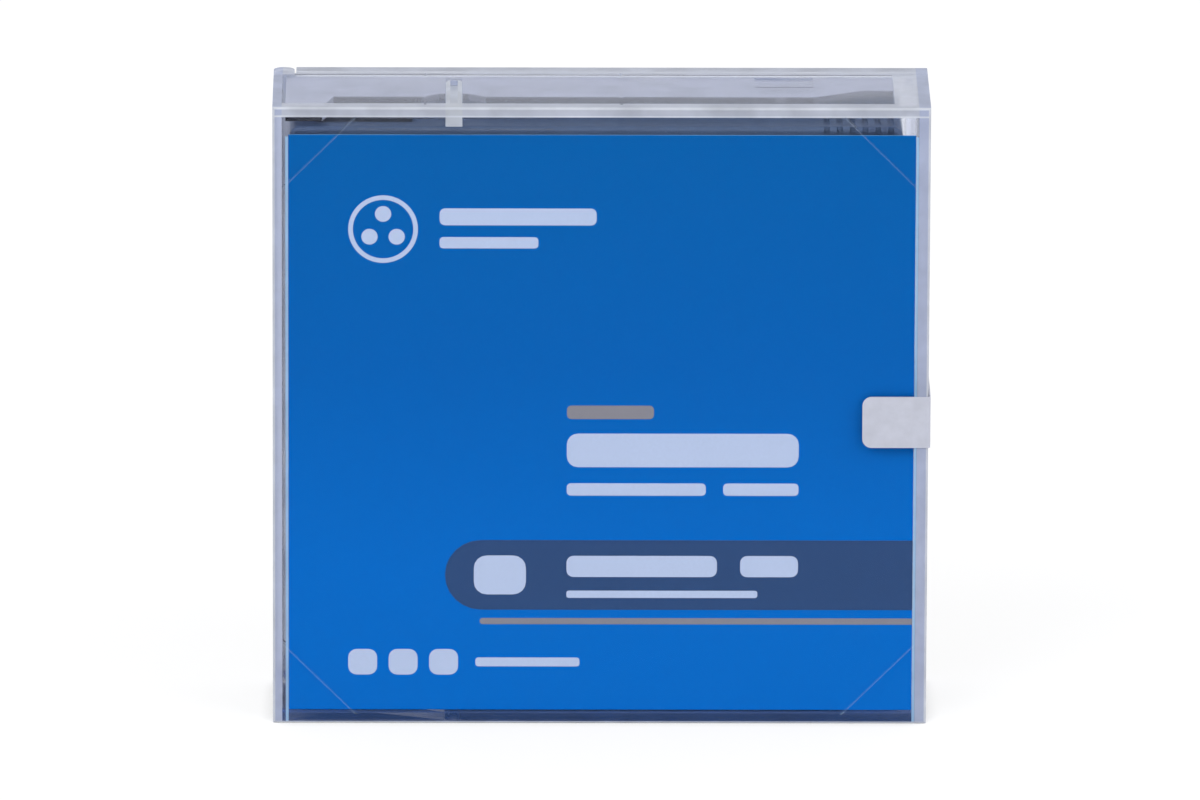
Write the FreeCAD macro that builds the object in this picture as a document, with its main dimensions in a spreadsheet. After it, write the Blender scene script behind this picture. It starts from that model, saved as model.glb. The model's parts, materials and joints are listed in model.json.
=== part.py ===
import FreeCAD, Part
import math
import os
import re
import Sketcher

# A single-reel data tape cartridge in its clear hinged storage case, standing on edge.
# Millimetres. +Z is up, +X points at the case's opening side, -Y at the front with the card.
# The origin is the middle of the footprint. The cartridge lies in the case with its upper
# shell to the front, its door side up and its label end at +X.

# Driving dimensions, in groups: the case, the card and seal, the shells, the reel, the brake,
# the leader pin, the door and the small pieces.
SIZES = {
    "front_plate": 1.4,
    "back_plate": 1.4,
    "lid_wall": 1.6,
    "opening_wall": 2.0,
    "rim_depth": 4.0,
    "seam_gap": 0.2,
    "nest_gap": 0.3,
    "tray_wall": 1.2,
    "tray_reach": 9.9,
    "tray_lead_length": 8.5,
    "tray_lead_reach": 3.2,
    "tray_ramp": 1.9,
    "finger_notch_start": 20.0,
    "finger_notch_end": 6.0,
    "finger_notch_deep": 4.6,
    "finger_notch_ramp": 8.7,
    "clip_relief_deep": 2.1,
    "clip_relief_width": 5.0,
    "clip_relief_ramp": 3.0,
    "catch_wall_reach": 18.2,
    "catch_clearance": 0.6,
    "hinge_round": 1.8,
    "hinge_gap": 0.3,
    "pin_radius": 0.8,
    "pin_running": 0.05,
    "ear_radius": 1.6,
    "ear_height": 3.0,
    "pin_length": 2.8,
    "standoff_gap": 0.3,
    "standoff_radius": 3.0,
    "standoff_inset": 16.0,
    "boss_ring_radius": 24.2,
    "boss_ring_wall": 1.2,
    "rest_rib_width": 2.0,
    "rest_rib_offset": 30.0,
    "rest_gap": 0.1,
    "lid_edge_round": 0.5,
    "pocket_leg": 13.0,
    "pocket_plate": 0.6,
    "pocket_root": 0.3,
    "pocket_line": 0.4,
    "pocket_line_deep": 0.12,
    "clip_from_hinge": 31.15,
    "clip_width": 2.9,
    "clip_groove": 1.3,
    "clip_groove_deep": 0.9,
    "clip_front": 3.0,
    "clip_back": 18.8,
    "clip_line": 0.35,
    "clip_tab_drop": 3.3,
    "clip_tab_thick": 1.0,
    "ledge_start": 14.6,
    "ledge_end": 48.3,
    "ledge_low": 2.25,
    "ledge_high": 4.1,
    "ledge_thick": 0.4,
    "gate_start": 30.0,
    "gate_end": 20.0,
    "gate_front": 14.5,
    "gate_back": 20.8,
    "gate_deep": 0.3,
    "witness_near": 26.0,
    "witness_far": 59.7,
    "witness_width": 0.4,
    "witness_deep": 0.2,
    "card_thick": 0.3,
    "card_gap": 0.15,
    "card_bottom": 2.15,
    "card_top": 5.15,
    "card_left": 2.7,
    "card_right": 2.5,
    "seal_bottom": 49.6,
    "seal_height": 9.1,
    "seal_front_length": 11.4,
    "seal_back_length": 9.0,
    "seal_thick": 0.2,
    "seal_lift": 0.15,
    "seal_round": 1.6,
    "seal_split": 0.3,
    "seal_bend": 0.3,
    "cartridge_width": 102.0,
    "cartridge_left": 2.9,
    "cartridge_right": 4.7,
    "cartridge_bottom": 4.0,
    "cartridge_top": 4.0,
    "cartridge_behind": 2.2,
    "pocket_clearance": 0.3,
    "shell_wall": 1.5,
    "shell_floor": 1.8,
    "shell_corner": 2.0,
    "shell_edge": 0.8,
    "hub_opening": 20.5,
    "grip_count": 6,
    "grip_pitch": 2.2,
    "grip_width": 1.0,
    "grip_deep": 0.5,
    "grip_wrap": 2.6,
    "grip_end": 1.6,
    "label_length": 24.0,
    "label_margin": 3.0,
    "label_deep": 0.3,
    "latch_notch_start": 22.0,
    "latch_notch_length": 6.0,
    "latch_notch_deep": 0.9,
    "latch_notch_step": 3.0,
    "datum_radius": 2.5,
    "datum_deep": 1.0,
    "datum_inset": 12.0,
    "boss_radius": 2.6,
    "screw_radius": 1.0,
    "screw_clearance": 0.1,
    "screw_head_radius": 1.9,
    "screw_head": 1.2,
    "screw_length": 15.0,
    "screw_inset": 5.4,
    "upper_screw_side": 3.9,
    "upper_screw_inset": 17.6,
    "flange_clearance": 1.0,
    "reel_rear_gap": 0.5,
    "nose_length": 6.4,
    "lower_flange": 1.4,
    "upper_flange": 1.25,
    "reel_lift": 0.5,
    "reel_float": 2.0,
    "hub_radius": 22.0,
    "hub_wall": 2.0,
    "tape_width": 12.65,
    "pack_step": 2.5,
    "pack_clearance": 0.05,
    "web_bore": 9.6,
    "chuck_teeth": 30,
    "chuck_tooth_inset": 2.0,
    "chuck_tooth_height": 1.2,
    "plate_inset": 0.8,
    "plate_width": 3.2,
    "plate_gap": 0.9,
    "plate_thick": 0.5,
    "brake_teeth": 18,
    "brake_tooth_length": 4.0,
    "brake_tooth_inset": 1.0,
    "brake_tooth_height": 0.9,
    "brake_tooth_gap": 0.3,
    "brake_inset": 2.5,
    "brake_disc": 2.0,
    "brake_sleeve_radius": 6.2,
    "brake_sleeve": 5.0,
    "brake_travel": 1.5,
    "post_size": 6.0,
    "post_play": 0.3,
    "pad_inset": 0.4,
    "pad_thick": 1.6,
    "pad_foot_radius": 1.6,
    "pad_foot_circle": 5.5,
    "pad_gap": 0.3,
    "brake_coil_radius": 8.0,
    "brake_wire": 0.45,
    "brake_turns": 3,
    "leader_pin_x": 8.6,
    "leader_pin_z": 7.0,
    "leader_pin_radius": 1.2,
    "leader_pin_head": 2.1,
    "leader_pin_head_thick": 1.4,
    "leader_pin_play": 0.2,
    "saddle_slot": 2.7,
    "saddle_size": 8.4,
    "saddle_height": 1.8,
    "leader_clip_radius": 1.9,
    "leader_clip_play": 0.05,
    "leader_thick": 0.2,
    "leader_gap": 0.3,
    "pin_spring_thick": 0.25,
    "pin_spring_width": 1.4,
    "pin_spring_arm": 2.4,
    "pin_spring_play": 0.1,
    "door_lap": 2.3,
    "door_thick": 1.2,
    "door_gap": 0.3,
    "door_side_gap": 0.3,
    "door_travel": 15.0,
    "door_tab": 1.0,
    "window_start": 4.5,
    "window_height": 15.0,
    "rail_thick": 1.2,
    "rail_height": 2.2,
    "rail_lap": 5.0,
    "rail_reach": 7.5,
    "door_coil_radius": 0.7,
    "door_wire": 0.18,
    "door_turns": 9,
    "coil_gap": 0.1,
    "door_spring_length": 22.0,
    "spring_stop": 1.4,
    "spring_stop_depth": 2.4,
    "tab_window_bottom": 12.0,
    "tab_window_low": 4.0,
    "tab_window_high": 8.6,
    "slider_travel": 5.5,
    "slider_thick": 2.2,
    "slider_gap": 0.3,
    "slider_knob": 4.6,
    "slider_margin": 1.5,
    "slider_guide": 1.4,
    "memory_size": 10.0,
    "memory_thick": 0.9,
    "memory_gap": 10.0,
    "memory_height": 9.0,
}

# Places worked out from the sizes. Each is an expression over the sizes and other places.
PLACES = {
    "flange_radius": "cartridge_width / 2 - shell_wall - flange_clearance",
    "pack_radius": "flange_radius - pack_step",
    "plate_inner": "web_bore + plate_inset",
    "plate_outer": "plate_inner + plate_width",
    "chuck_tooth_inner": "plate_outer + plate_gap",
    "chuck_tooth_outer": "hub_opening - chuck_tooth_inset",
    "brake_radius": "hub_radius - hub_wall - brake_inset",
    "brake_tooth_outer": "brake_radius - brake_tooth_inset",
    "brake_tooth_inner": "brake_tooth_outer - brake_tooth_length",
    "pad_radius": "web_bore - pad_inset",
    "reel_from_rear": "flange_radius + shell_wall + reel_rear_gap",
    "cartridge_length": "reel_from_rear + flange_radius + nose_length",
    "reel_stack": "lower_flange + upper_flange + tape_width + 2 * pack_clearance",
    "cartridge_thick": "2 * shell_floor + reel_lift + reel_stack + reel_float",
    "card_stack": "front_plate + 2 * card_gap + card_thick + pocket_plate + pocket_clearance",
    "case_width": "cartridge_left + cartridge_length + cartridge_right",
    "case_height": "cartridge_bottom + cartridge_width + cartridge_top",
    "case_depth": "card_stack + cartridge_thick + cartridge_behind + back_plate",
    "card_width": "case_width - card_left - card_right",
    "card_height": "case_height - card_bottom - card_top",
    "left": "-case_width / 2",
    "right": "case_width / 2",
    "front": "-case_depth / 2",
    "back": "case_depth / 2",
    "plate_face": "front + front_plate",
    "back_face": "back - back_plate",
    "seam": "back - rim_depth",
    "hinge_x": "left + hinge_round",
    "hinge_y": "back - hinge_round",
    "base_left": "hinge_x + hinge_round + hinge_gap",
    "clip_relief_reach": "tray_reach + clip_relief_deep",
    "finger_notch_reach": "tray_reach + finger_notch_deep",
    "tray_low": "lid_wall + nest_gap",
    "tray_floor": "tray_low + tray_wall",
    "tray_left": "left + lid_wall + nest_gap + nest_gap",
    "tray_right": "right - finger_notch_end",
    "catch_right": "right - opening_wall - catch_clearance",
    "catch_left": "catch_right - tray_wall",
    "joggle": "seam + tray_wall",
    "clip_x": "left + clip_from_hinge",
    "card_x": "left + card_left",
    "card_y": "plate_face + card_gap",
    "pocket_y": "card_y + card_thick + card_gap",
    "shell_left": "left + cartridge_left",
    "shell_right": "shell_left + cartridge_length",
    "shell_low": "cartridge_bottom",
    "shell_high": "cartridge_bottom + cartridge_width",
    "shell_front": "pocket_y + pocket_plate + pocket_clearance",
    "shell_back": "shell_front + cartridge_thick",
    "parting": "(shell_front + shell_back) / 2",
    "ceiling": "shell_front + shell_floor",
    "floor": "shell_back - shell_floor",
    "reel_x": "shell_right - reel_from_rear",
    "reel_z": "shell_low + cartridge_width / 2",
    "web_back": "floor - reel_lift",
    "web_front": "web_back - lower_flange",
    "pack_back": "web_front - pack_clearance",
    "pack_front": "pack_back - tape_width",
    "flange_back": "pack_front - pack_clearance",
    "flange_front": "flange_back - upper_flange",
    "brake_back": "web_front - 2 * brake_tooth_height - brake_tooth_gap",
    "brake_front": "brake_back - brake_disc",
    "pin_x": "shell_left + leader_pin_x",
    "pin_z": "shell_high - leader_pin_z",
    "pin_back": "floor - leader_pin_play",
    "pin_front": "ceiling + leader_pin_play",
    "door_high": "shell_high - shell_wall - door_gap",
    "door_low": "door_high - door_thick",
    "door_left": "window_left - door_lap",
    "door_right": "window_right + door_lap",
    "door_front": "ceiling + door_side_gap",
    "door_back": "floor - door_side_gap",
    "window_left": "shell_left + window_start",
    "window_right": "window_left + door_tab + door_travel + 2 * door_gap",
    "window_front": "parting - window_height / 2",
    "window_back": "parting + window_height / 2",
    "rail_high": "door_low - door_gap",
    "rail_left": "door_right - rail_lap",
    "rail_right": "door_right + rail_reach",
    "slot_low": "shell_low + tab_window_bottom",
    "slot_high": "slot_low + slider_knob + slider_travel + 2 * slider_gap",
    "slot_back": "shell_back - tab_window_low",
    "slot_front": "shell_back - tab_window_high",
    "slider_right": "shell_right - shell_wall - slider_gap",
    "slider_left": "slider_right - slider_thick",
    "seal_side": "right + seal_lift",
}

doc = FreeCAD.newDocument("TapeCartridge")
sheet = doc.addObject("Spreadsheet::Sheet", "Sizes")
for row, (alias, number) in enumerate(SIZES.items(), start=1):
    sheet.set(f"A{row}", alias.replace("_", " "))
    sheet.set(f"B{row}", str(number))
    sheet.setAlias(f"B{row}", alias)
doc.recompute()


def bound(text):
    """An expression with its places written out and its sizes read from the sheet."""

    def swap(match):
        word = match.group()
        if word in PLACES:
            return f"({bound(PLACES[word])})"
        return f"Sizes.{word}" if word in SIZES else word

    return re.sub(r"[a-z_]+", swap, str(text))


def value(text):
    """The number that an expression gives now."""
    return float(sheet.evalExpression(bound(text)))


def vector(x, y, z):
    return FreeCAD.Vector(value(x), value(y), value(z))


def bind(item, **sizes):
    """Ties properties of an object to expressions."""
    for name, text in sizes.items():
        item.setExpression(name, bound(text))


def place(item, x, y, z):
    """Ties an object's position to expressions."""
    for axis, text in zip("xyz", (x, y, z)):
        item.setExpression(f"Placement.Base.{axis}", bound(text))


def rectangle(u_low, v_low, u_high, v_high):
    """The corners of an upright rectangle in a sketch."""
    return [(u_low, v_low), (u_high, v_low), (u_high, v_high), (u_low, v_high)]


def mirrored(points):
    """Front-view points turned upside down about the case's middle height."""
    return [(x, f"case_height - ({z})") for x, z in points]


class Moulding:
    """A PartDesign body. Its sketches lie in front, top or side planes at a given level,
    and every pad and pocket runs from that level towards +Y, +Z or +X."""

    PLANES = {"front": ("XZ_Plane", -1), "top": ("XY_Plane", 1), "side": ("YZ_Plane", 1)}

    def __init__(self, label):
        self.label = label
        self.body = doc.addObject("PartDesign::Body", label)
        self.body.Label = label

    def origin(self, role):
        return next(f for f in self.body.Origin.OriginFeatures if f.Role == role)

    def sketch(self, view, level, loops, shift=("0", "0")):
        """A sketch of closed loops: a list of corners each, or (u, v, radius) for a circle."""
        role, sign = self.PLANES[view]
        item = self.body.newObject("Sketcher::SketchObject", f"{self.label}_outline")
        item.AttachmentSupport = [(self.origin(role), "")]
        item.MapMode = "FlatFace"
        offsets = (*shift, f"{sign} * ({level})")
        for axis, text in zip("xyz", offsets):
            item.setExpression(f"AttachmentOffset.Base.{axis}", bound(text))
        for loop in loops:
            draw = self.circle if isinstance(loop, tuple) else self.polygon
            draw(item, loop)
        return item

    @staticmethod
    def hold(item, kind, element, point, text):
        """Ties one coordinate or radius in a sketch to an expression."""
        if kind == "Radius":
            made = Sketcher.Constraint(kind, element, value(text))
        else:
            made = Sketcher.Constraint(kind, -1, 1, element, point, value(text))
        number = item.addConstraint(made)
        item.setExpression(f"Constraints[{number}]", bound(text))

    def polygon(self, item, corners):
        first = item.GeometryCount
        spots = [FreeCAD.Vector(value(u), value(v), 0) for u, v in corners]
        count = len(spots)
        for index, spot in enumerate(spots):
            item.addGeometry(Part.LineSegment(spot, spots[(index + 1) % count]))
        for index in range(count):
            after = first + (index + 1) % count
            item.addConstraint(Sketcher.Constraint("Coincident", first + index, 2, after, 1))
        for index, (u, v) in enumerate(corners):
            self.hold(item, "DistanceX", first + index, 1, u)
            self.hold(item, "DistanceY", first + index, 1, v)

    def circle(self, item, loop):
        u, v, radius = loop
        centre = FreeCAD.Vector(value(u), value(v), 0)
        number = item.addGeometry(
            Part.Circle(centre, FreeCAD.Vector(0, 0, 1), value(radius))
        )
        self.hold(item, "DistanceX", number, 3, u)
        self.hold(item, "DistanceY", number, 3, v)
        self.hold(item, "Radius", number, 0, radius)

    def pad(self, view, level, length, *loops):
        """Adds material from the level, for the length."""
        item = self.body.newObject("PartDesign::Pad", f"{self.label}_pad")
        item.Profile = self.sketch(view, level, loops)
        item.Reversed = view == "front"
        bind(item, Length=length)
        doc.recompute()
        return item

    def pocket(self, view, level, length, *loops):
        """Removes material from the level, for the length, and makes sure that it did."""
        before = self.body.Shape.Volume
        item = self.body.newObject("PartDesign::Pocket", f"{self.label}_pocket")
        item.Profile = self.sketch(view, level, loops)
        item.Reversed = view != "front"
        bind(item, Length=length)
        doc.recompute()
        if not item.Shape.Volume < before - 1e-6:
            raise RuntimeError(f"a pocket of {self.label} cuts nothing")
        return item

    def turn(self, x, z, *loops):
        """Revolves loops of (radius, y) about the line along Y through (x, z)."""
        item = self.body.newObject("PartDesign::Revolution", f"{self.label}_turn")
        profile = self.sketch("top", z, loops, shift=(x, "0"))
        item.Profile = profile
        item.ReferenceAxis = (profile, ["V_Axis"])
        item.Angle = 360
        doc.recompute()
        return profile

    def repeat_round(self, feature, profile, count):
        """Repeats a feature about a turned profile's axis."""
        item = self.body.newObject("PartDesign::PolarPattern", f"{self.label}_round")
        item.Originals = [feature]
        item.Axis = (profile, ["V_Axis"])
        item.Angle = 360
        bind(item, Occurrences=count)
        self.body.Tip = item
        doc.recompute()

    def repeat_along(self, feature, count, length):
        """Repeats a feature along +X over a total length."""
        item = self.body.newObject("PartDesign::LinearPattern", f"{self.label}_row")
        item.Originals = [feature]
        item.Direction = (self.origin("X_Axis"), [""])
        bind(item, Occurrences=count, Length=length)
        self.body.Tip = item
        doc.recompute()

    def round_edges(self, radius, wanted):
        """Rounds the edges of the last feature that a test picks."""
        base = self.body.Tip
        names = [
            f"Edge{number}"
            for number, edge in enumerate(base.Shape.Edges, start=1)
            if wanted(edge)
        ]
        item = self.body.newObject("PartDesign::Fillet", f"{self.label}_fillet")
        item.Base = (base, names)
        bind(item, Radius=radius)
        doc.recompute()


def box(label, x, y, z, length, width, height):
    """A Part box with one corner at (x, y, z)."""
    item = doc.addObject("Part::Box", label)
    item.Label = label
    bind(item, Length=length, Width=width, Height=height)
    place(item, x, y, z)
    return item


def rod(label, x, y, z, radius, length):
    """A Part cylinder along +Y that starts at (x, y, z)."""
    item = doc.addObject("Part::Cylinder", label)
    item.Label = label
    item.Placement = FreeCAD.Placement(
        FreeCAD.Vector(), FreeCAD.Rotation(FreeCAD.Vector(1, 0, 0), -90)
    )
    bind(item, Radius=radius, Height=length)
    place(item, x, y, z)
    return item


def join(label, *pieces):
    item = doc.addObject("Part::MultiFuse", label)
    item.Label = label
    item.Shapes = list(pieces)
    return item


def cut(label, base, tool):
    item = doc.addObject("Part::Cut", label)
    item.Label = label
    item.Base, item.Tool = base, tool
    return item


def at_level(edge, axis, text):
    """True if both ends of an edge lie at this level along an axis."""
    level = value(text)
    return all(
        abs(getattr(vertex.Point, axis) - level) < 1e-4 for vertex in edge.Vertexes
    )


def runs_along(edge, axis):
    """True if an edge is straight and runs along an axis."""
    if edge.Curve.TypeId != "Part::GeomLine":
        return False
    return abs(getattr(edge.tangentAt(edge.FirstParameter), axis)) > 0.999


# ---------------------------------------------------------------- the case


def make_case_base():
    """The rear half: a back plate with a joggled rim and the tray walls that nest in the lid.
    The hinge side is open, apart from the two ears that take the lid's pins."""
    base = Moulding("case_base")
    plate = rectangle("base_left", "0", "right", "case_height")
    base.pad("front", "back_face", "back_plate", plate)
    base.pad("front", "seam", "back_face - seam", rim_outline("lid_wall"))
    base.pad("front", "seam", "tray_wall", rim_outline("tray_floor"))
    for level in ("tray_low", "case_height - tray_floor"):
        base.pad("top", level, "tray_wall", tray_outline())
    catch = rectangle("catch_left", "tray_low", "catch_right", "case_height - tray_low")
    base.pad("front", "front + catch_wall_reach", "joggle - front - catch_wall_reach", catch)
    for level in ("tray_low", "case_height - tray_low - ear_height"):
        arm = rectangle("hinge_x", "hinge_y - hinge_round / 2", "base_left + lid_wall", "back")
        base.pad("top", level, "ear_height", arm)
        base.pad("top", level, "ear_height", ("hinge_x", "hinge_y", "ear_radius"))
        hole = ("hinge_x", "hinge_y", "pin_radius + pin_running")
        base.pocket("top", level, "ear_height", hole)
    add_standoffs(base)
    add_rest_ribs(base)
    tip_round = "tray_wall / 3"
    base.round_edges(tip_round, lambda edge: is_finger_tip(edge))


def is_finger_tip(edge):
    """True for the upright edges at the ends of the tray walls beside the opening."""
    return runs_along(edge, "z") and at_level(edge, "x", "tray_right") and (
        edge.Vertexes[0].Point.y < value("seam") - 1
    )


def rim_outline(inside):
    """A C of one wall along the bottom, the opening side and the top of the base."""
    side = f"right - ({inside})"
    return [
        ("base_left", "0"),
        ("right", "0"),
        ("right", "case_height"),
        ("base_left", "case_height"),
        ("base_left", f"case_height - ({inside})"),
        (side, f"case_height - ({inside})"),
        (side, inside),
        ("base_left", inside),
    ]


def tray_outline():
    """A tray wall seen from above. Its free edge steps back behind the hinge side's lead,
    dips behind the clip and again at the finger notch, where it ends short of the lid."""
    clip_start = "clip_x - clip_relief_width / 2"
    clip_end = "clip_x + clip_relief_width / 2"
    return [
        ("tray_left", "front + tray_lead_reach"),
        ("left + tray_lead_length", "front + tray_lead_reach"),
        ("left + tray_lead_length + tray_ramp", "front + tray_reach"),
        (f"{clip_start} - clip_relief_ramp", "front + tray_reach"),
        (clip_start, "front + clip_relief_reach"),
        (clip_end, "front + clip_relief_reach"),
        (f"{clip_end} + clip_relief_ramp", "front + tray_reach"),
        ("right - finger_notch_start", "front + tray_reach"),
        ("right - finger_notch_start + finger_notch_ramp", "front + finger_notch_reach"),
        ("tray_right", "front + finger_notch_reach"),
        ("tray_right", "joggle"),
        ("base_left", "joggle"),
        ("tray_left", "hinge_y - hinge_round"),
    ]


def add_standoffs(base):
    """A locating ring round the hub opening and four round pads that carry the cartridge."""
    height = "back_face - shell_back - standoff_gap"
    level = "shell_back + standoff_gap"
    ring = ("reel_x", "reel_z", "boss_ring_radius")
    bore = ("reel_x", "reel_z", "boss_ring_radius - boss_ring_wall")
    base.pad("front", level, height, ring, bore)
    pads = [
        (x, z, "standoff_radius")
        for x in ("shell_left + standoff_inset", "shell_right - standoff_inset")
        for z in ("shell_low + standoff_inset", "shell_high - standoff_inset")
    ]
    base.pad("front", level, height, *pads)


def add_rest_ribs(base):
    """Two ribs on each tray wall that the cartridge stands on and slides under."""
    height = "shell_low - rest_gap - tray_floor"
    top_gap = "case_height - tray_floor - shell_high - rest_gap"
    start = "front + clip_relief_reach + 1"
    for x in ("-rest_rib_offset", "rest_rib_offset"):
        foot = rectangle(x, start, f"{x} + rest_rib_width", "back_face")
        base.pad("top", "tray_floor", height, foot)
        base.pad("top", "shell_high + rest_gap", top_gap, foot)


def make_case_lid():
    """The front half: a plate with four walls, the hinge barrel, corner pockets for the card
    and the clips in its top and bottom walls."""
    lid = Moulding("case_lid")
    outer = rectangle("left", "0", "right", "case_height")
    inner = rectangle(
        "left + lid_wall", "lid_wall", "right - opening_wall", "case_height - lid_wall"
    )
    walls = "seam - seam_gap - front"
    lid.pad("front", "front", walls, outer)
    lid.round_edges("lid_edge_round", lambda edge: at_level(edge, "y", "front"))
    lid.pocket("front", "plate_face", walls, inner)
    add_hinge(lid)
    add_card_pockets(lid)
    add_corner_lines(lid)
    add_clips(lid)
    add_wall_marks(lid)


def add_hinge(lid):
    """The rounded barrel along the hinge edge, and a tab with a pin at each end of it."""
    clear = "tray_low + ear_height + hinge_gap"
    span = f"case_height - 2 * ({clear})"
    strip = rectangle("left", "seam - seam_gap - 1", "left + lid_wall", "hinge_y")
    lid.pad("top", clear, span, strip)
    lid.pad("top", clear, span, ("hinge_x", "hinge_y", "hinge_round"))
    tab = rectangle("left", "seam - seam_gap - 1", "hinge_x + hinge_round", "hinge_y")
    for level in ("0", "case_height - lid_wall"):
        lid.pad("top", level, "lid_wall", tab)
        lid.pad("top", level, "lid_wall", ("hinge_x", "hinge_y", "hinge_round"))
    pin = ("hinge_x", "hinge_y", "pin_radius")
    lid.pad("top", "lid_wall", "pin_length", pin)
    lid.pad("top", "case_height - lid_wall - pin_length", "pin_length", pin)


def add_card_pockets(lid):
    """A thin triangular plate across each corner, behind the card."""
    for side, turn in (("left + lid_wall", "1"), ("right - opening_wall", "-1")):
        root, tip = f"{side} - {turn} * pocket_root", f"{side} + {turn} * pocket_leg"
        low = [
            (root, "lid_wall - pocket_root"),
            (tip, "lid_wall - pocket_root"),
            (tip, "lid_wall"),
            (side, "lid_wall + pocket_leg"),
            (root, "lid_wall + pocket_leg"),
        ]
        for corners in (low, mirrored(low)):
            lid.pad("front", "pocket_y", "pocket_plate", corners)


def add_corner_lines(lid):
    """A fine diagonal line in the front face along the edge of each pocket's plate."""
    for side, turn in (("left + lid_wall", "1"), ("right - opening_wall", "-1")):
        low = [
            (f"{side} + {turn} * (pocket_leg - pocket_line)", "lid_wall"),
            (f"{side} + {turn} * pocket_leg", "lid_wall"),
            (side, "lid_wall + pocket_leg"),
            (side, "lid_wall + pocket_leg - pocket_line"),
        ]
        lid.pocket("front", "front", "pocket_line_deep", low, mirrored(low))


def add_clips(lid):
    """At the top and bottom: a channel across the wall, the fine outline round it, and a
    round-ended tab that runs down the inside of the front plate."""
    half, line = "clip_width / 2", "clip_line"
    channel = rectangle(
        "clip_x - clip_groove / 2", "front + clip_front",
        "clip_x + clip_groove / 2", "front + clip_back",
    )
    outline = [
        (f"clip_x - {half}", "front + clip_front"),
        (f"clip_x - {half} + {line}", "front + clip_front"),
        (f"clip_x - {half} + {line}", f"front + clip_back + clip_groove - {line}"),
        (f"clip_x + {half} - {line}", f"front + clip_back + clip_groove - {line}"),
        (f"clip_x + {half} - {line}", "front + clip_front"),
        (f"clip_x + {half}", "front + clip_front"),
        (f"clip_x + {half}", "front + clip_back + clip_groove"),
        (f"clip_x - {half}", "front + clip_back + clip_groove"),
    ]
    for deep, loop in (("clip_groove_deep", channel), ("witness_deep", outline)):
        lid.pocket("top", "0", deep, loop)
        lid.pocket("top", f"case_height - {deep}", deep, loop)
    tip = "case_height - clip_tab_drop + clip_width / 2"
    neck = rectangle(
        f"clip_x - {half}", tip, f"clip_x + {half}", "case_height - lid_wall * 0.5"
    )
    for loop in (neck, ("clip_x", tip, half)):
        lid.pad("front", "plate_face", "clip_tab_thick", loop)


def add_wall_marks(lid):
    """The ledge inside the front plate, and the gate recess and fine cross lines on top."""
    ledge = rectangle(
        "left + ledge_start", "case_height - ledge_high",
        "left + ledge_end", "case_height - ledge_low",
    )
    lid.pad("front", "plate_face", "ledge_thick", ledge)
    gate = rectangle(
        "right - gate_start", "front + gate_front", "right - gate_end", "front + gate_back"
    )
    lid.pocket("top", "case_height - gate_deep", "gate_deep", gate)
    lines = [
        rectangle(
            f"left + {x}", "front + lid_edge_round", f"left + {x} + witness_width", "seam"
        )
        for x in ("witness_near", "witness_far")
    ]
    lid.pocket("top", "case_height - witness_deep", "witness_deep", *lines)


def make_card():
    """The printed card that stands in the lid's corner pockets."""
    box(
        "insert_card", "card_x", "card_y", "card_bottom",
        "card_width", "card_thick", "card_height",
    )


def make_seal():
    """The paper seal over the opening edge, parted where the lid meets the base."""
    thick = "seal_thick"
    front = Moulding("seal_front")
    split = "seam - seam_gap / 2"
    front.pad(
        "top", "seal_bottom", "seal_height",
        [
            ("right - seal_front_length", f"front - {thick}"),
            (f"seal_side + {thick}", f"front - {thick}"),
            (f"seal_side + {thick}", f"{split} - seal_split / 2"),
            ("seal_side", f"{split} - seal_split / 2"),
            ("seal_side", "front"),
            ("right - seal_front_length", "front"),
        ],
    )
    start = "right - seal_front_length"
    front.round_edges(
        "seal_round", lambda edge: runs_along(edge, "y") and at_level(edge, "x", start)
    )
    for radius, face, side in (
        ("seal_bend", "front", "seal_side"),
        (f"seal_bend + {thick}", f"front - {thick}", f"seal_side + {thick}"),
    ):
        front.round_edges(
            radius,
            lambda edge: runs_along(edge, "z")
            and at_level(edge, "x", side)
            and at_level(edge, "y", face),
        )
    rear = Moulding("seal_rear")
    rear.pad(
        "top", "seal_bottom", "seal_height",
        [
            ("seal_side", f"{split} + seal_split / 2"),
            (f"seal_side + {thick}", f"{split} + seal_split / 2"),
            (f"seal_side + {thick}", f"back + {thick}"),
            ("right - seal_back_length", f"back + {thick}"),
            ("right - seal_back_length", "back"),
            ("seal_side", "back"),
        ],
    )
    end = "right - seal_back_length"
    rear.round_edges(
        "seal_round", lambda edge: runs_along(edge, "y") and at_level(edge, "x", end)
    )


# ---------------------------------------------------------------- the cartridge's shells

SCREWS = (
    ("shell_left + screw_inset", "shell_low + screw_inset"),
    ("shell_right - screw_inset", "shell_low + screw_inset"),
    ("shell_right - screw_inset", "shell_high - screw_inset"),
    ("shell_left + upper_screw_side", "shell_high - upper_screw_inset"),
)


def start_shell(label, level, inside):
    """A rounded tray open towards the parting plane, its face edge eased."""
    shell = Moulding(label)
    outer = rectangle("shell_left", "shell_low", "shell_right", "shell_high")
    shell.pad("front", level, "cartridge_thick / 2", outer)
    shell.round_edges("shell_corner", lambda edge: runs_along(edge, "y"))
    face = "shell_front" if level == "shell_front" else "shell_back"
    shell.round_edges("shell_edge", lambda edge: at_level(edge, "y", face))
    inner = rectangle(
        "shell_left + shell_wall",
        "shell_low + shell_wall",
        "shell_right - shell_wall",
        "shell_high - shell_wall",
    )
    shell.pocket("front", inside, "cartridge_thick / 2 - shell_floor", inner)
    return shell


def add_grips(shell):
    """A row of finger grips across each long side, by the label end."""
    span = "(grip_count - 1) * grip_pitch"
    start = f"shell_right - grip_end - grip_width - {span}"
    level, reach = "shell_front + shell_corner", "cartridge_thick - 2 * shell_corner"
    for low, high in (
        ("shell_low - 1", "shell_low + grip_deep"),
        ("shell_high - grip_deep", "shell_high + 1"),
    ):
        slot = rectangle(start, low, f"{start} + grip_width", high)
        groove = shell.pocket("front", level, reach, slot)
        shell.repeat_along(groove, "grip_count", span)


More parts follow.
